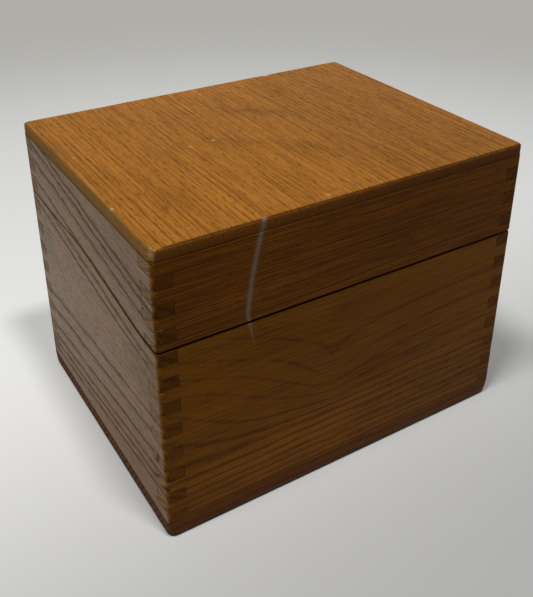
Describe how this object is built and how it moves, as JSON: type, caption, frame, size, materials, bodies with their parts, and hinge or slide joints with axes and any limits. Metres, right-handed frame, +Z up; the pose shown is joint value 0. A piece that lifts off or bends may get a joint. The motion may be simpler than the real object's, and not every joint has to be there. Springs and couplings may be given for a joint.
{
  "type": "recipe card box",
  "caption": "Finger-jointed oak box for file cards, with a hinged lid whose side seam rises from a low front to a high back.",
  "frame": {"origin": "middle of the base, on the surface the box stands on", "axes": "+Z up, -Y out of the front, +X to the right seen from the front, along the long side"},
  "size_m": [0.173, 0.136, 0.133],
  "materials": {
    "oak_body": "satin varnished oak, grain along each board",
    "oak_lid": "satin varnished oak, grain along each board",
    "oak_top": "satin varnished oak, grain from front to back",
    "oak_bottom": "satin varnished oak, darker",
    "hinge_brass": "aged brass",
    "screw_brass": "aged brass"
  },
  "bodies": {
    "body": {"body_front": "oak_body", "body_back": "oak_body", "body_left": "oak_body", "body_right": "oak_body", "bottom_board": "oak_bottom", "left_hinge_body_leaf": "hinge_brass", "left_hinge_pin": "hinge_brass", "left_hinge_body_screws": "screw_brass", "right_hinge_body_leaf": "hinge_brass", "right_hinge_pin": "hinge_brass", "right_hinge_body_screws": "screw_brass"},
    "lid": {"lid_front": "oak_lid", "lid_back": "oak_lid", "lid_left": "oak_lid", "lid_right": "oak_lid", "lid_top": "oak_top", "left_hinge_lid_leaf": "hinge_brass", "left_hinge_lid_screws": "screw_brass", "right_hinge_lid_leaf": "hinge_brass", "right_hinge_lid_screws": "screw_brass"}
  },
  "joints": [
    {"name": "lid_hinge", "type": "hinge", "parent": "body", "child": "lid", "pos_m": [0, 0.0667, 0.09935], "axis": [-1, 0, 0], "range_deg": [0, 105]}
  ]
}
